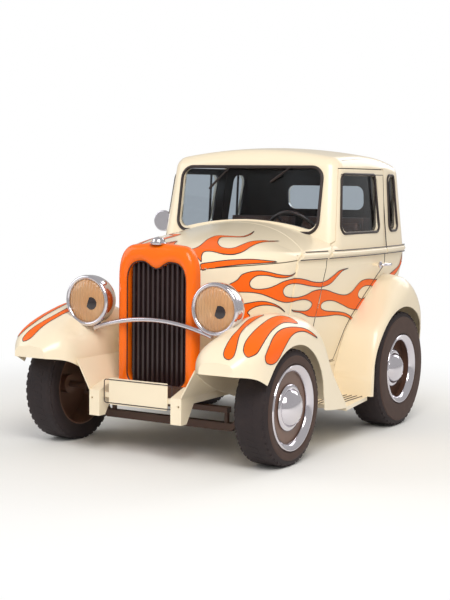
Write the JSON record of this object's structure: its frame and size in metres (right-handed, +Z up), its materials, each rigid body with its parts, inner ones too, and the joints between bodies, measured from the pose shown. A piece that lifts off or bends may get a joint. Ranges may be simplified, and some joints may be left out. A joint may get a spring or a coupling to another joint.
{
  "type": "hot rod car",
  "caption": "Short closed hot rod with separate bulging wings, an upright grille shell, round lamps on a bar, side-hinged doors and a rear-hinged hood top.",
  "frame": {"origin": "on the ground, midway along and across the car", "axes": "+X to the car's own left, the front faces -Y, +Z up"},
  "size_m": [1.812, 2.802, 1.945],
  "materials": {
    "cream_paint": "gloss",
    "orange_paint": "gloss",
    "brown_paint": "satin",
    "dark_metal": "matt",
    "chrome": "polished",
    "tyre": "matt",
    "clear_glass": "polished",
    "amber_glass": "polished",
    "red_lens": "gloss",
    "seat_leather": "satin",
    "dark_plastic": "gloss"
  },
  "bodies": {
    "chassis": {"frame_rail_left": "cream_paint", "frame_rail_right": "cream_paint", "crossmembers": "dark_metal", "front_axle": "brown_paint", "spring_saddle": "dark_metal", "rear_axle": "dark_metal", "engine": "dark_metal", "fuel_tank": "dark_metal", "radiator_shell": "orange_paint", "radiator_core": "dark_metal", "grille_bars": "brown_paint", "radiator_cap": "chrome", "cowl": "cream_paint", "rear_body": "cream_paint", "roof": "cream_paint", "windscreen_glass": "clear_glass", "rear_glass": "clear_glass", "hood_side_left": "cream_paint", "hood_side_right": "cream_paint", "floor": "dark_metal", "front_fender_left": "cream_paint", "front_fender_right": "cream_paint", "rear_fender_left": "cream_paint", "rear_fender_right": "cream_paint", "running_board_left": "cream_paint", "running_board_right": "cream_paint", "front_aprons": "cream_paint", "headlamps": "chrome", "headlamp_lenses": "amber_glass", "headlamp_bar": "chrome", "number_plate": "cream_paint", "front_seats": "seat_leather", "rear_seat": "seat_leather", "steering_wheel": "dark_plastic", "tail_lamps": "red_lens"},
    "knuckle_left": {"knuckle_left": "brown_paint"},
    "knuckle_right": {"knuckle_right": "brown_paint"},
    "wheel_front_left": {"tyre_front_left": "tyre", "wheel_front_left": "brown_paint"},
    "wheel_front_right": {"tyre_front_right": "tyre", "wheel_front_right": "brown_paint"},
    "wheel_rear_left": {"tyre_rear_left": "tyre", "wheel_rear_left": "brown_paint"},
    "wheel_rear_right": {"tyre_rear_right": "tyre", "wheel_rear_right": "brown_paint"},
    "door_left": {"door_left": "cream_paint", "door_glass_left": "clear_glass"},
    "door_right": {"door_right": "cream_paint", "door_glass_right": "clear_glass", "door_mirror": "chrome"},
    "hood": {"hood_top": "cream_paint"}
  },
  "joints": [
    {"name": "steer_left", "type": "hinge", "parent": "chassis", "child": "knuckle_left", "pos_m": [0.6, -0.851, 0.355], "axis": [0, 0, 1], "range_deg": [-25, 25]},
    {"name": "front_wheel_left", "type": "hinge", "parent": "knuckle_left", "child": "wheel_front_left", "pos_m": [0.775, -0.851, 0.355], "axis": [1, 0, 0], "continuous": true},
    {"name": "rear_wheel_left", "type": "hinge", "parent": "chassis", "child": "wheel_rear_left", "pos_m": [0.768, 0.779, 0.403], "axis": [1, 0, 0], "continuous": true},
    {"name": "door_hinge_left", "type": "hinge", "parent": "chassis", "child": "door_left", "pos_m": [0.698, -0.039, 0.9], "axis": [0, 0, -1], "range_deg": [0, 60]},
    {"name": "steer_right", "type": "hinge", "parent": "chassis", "child": "knuckle_right", "pos_m": [-0.6, -0.851, 0.355], "axis": [0, 0, 1], "range_deg": [-25, 25]},
    {"name": "front_wheel_right", "type": "hinge", "parent": "knuckle_right", "child": "wheel_front_right", "pos_m": [-0.775, -0.851, 0.355], "axis": [1, 0, 0], "continuous": true},
    {"name": "rear_wheel_right", "type": "hinge", "parent": "chassis", "child": "wheel_rear_right", "pos_m": [-0.768, 0.779, 0.403], "axis": [1, 0, 0], "continuous": true},
    {"name": "door_hinge_right", "type": "hinge", "parent": "chassis", "child": "door_right", "pos_m": [-0.698, -0.039, 0.9], "axis": [0, 0, 1], "range_deg": [0, 60]},
    {"name": "hood_hinge", "type": "hinge", "parent": "chassis", "child": "hood", "pos_m": [0, 0.017, 1.42846], "axis": [-1, 0, 0], "range_deg": [0, 45]}
  ],
  "couplings": [
    {"joint": "steer_right", "follows": "steer_left", "ratio": 1}
  ]
}
